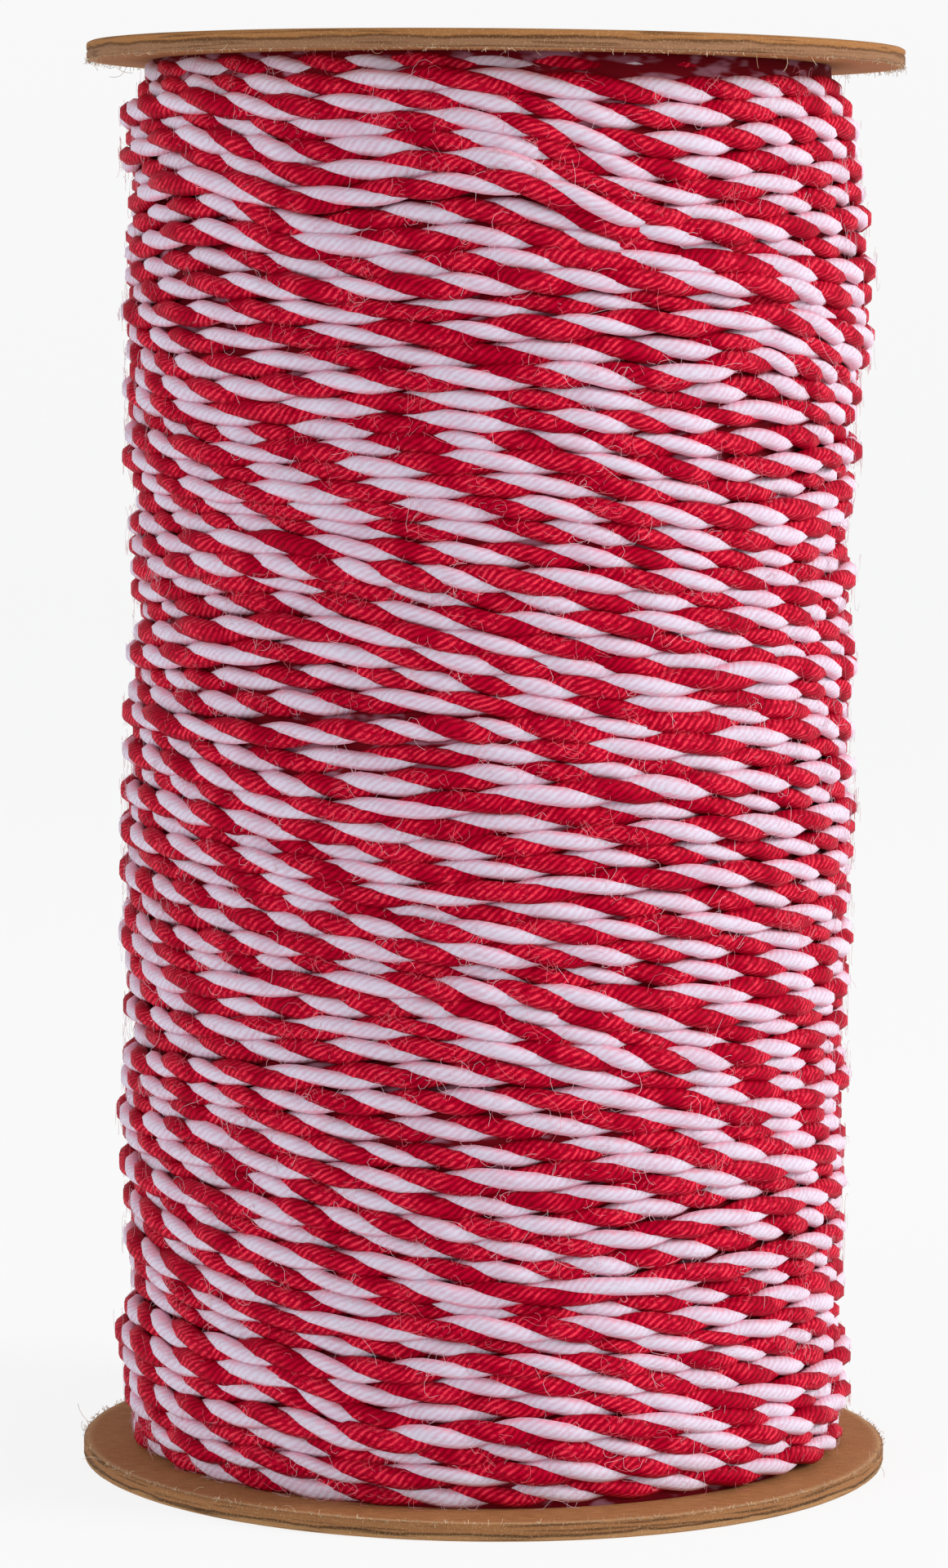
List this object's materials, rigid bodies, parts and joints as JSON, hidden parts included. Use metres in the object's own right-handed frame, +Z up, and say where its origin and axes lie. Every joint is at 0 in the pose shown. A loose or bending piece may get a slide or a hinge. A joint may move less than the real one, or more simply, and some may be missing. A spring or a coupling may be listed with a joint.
{
  "type": "spool of baker's twine",
  "caption": "Upright spool of red and white twisted cotton twine, wound in close turns between two thin round board flanges.",
  "frame": {"origin": "centre of the lower flange's underside, where the spool stands", "axes": "+Z up along the spool's axis, -Y towards the front of the picture"},
  "size_m": [0.055, 0.055, 0.0958],
  "materials": {
    "kraft_board": "matt pressed kraft board, darker on its cut edge",
    "twine_red": "soft matt cotton yarn with a fine fuzz",
    "twine_white": "soft matt cotton yarn with a fine fuzz"
  },
  "bodies": {
    "root": {"flange_bottom": "kraft_board", "winding": "twine_red", "flange_top": "kraft_board"}
  },
  "joints": []
}
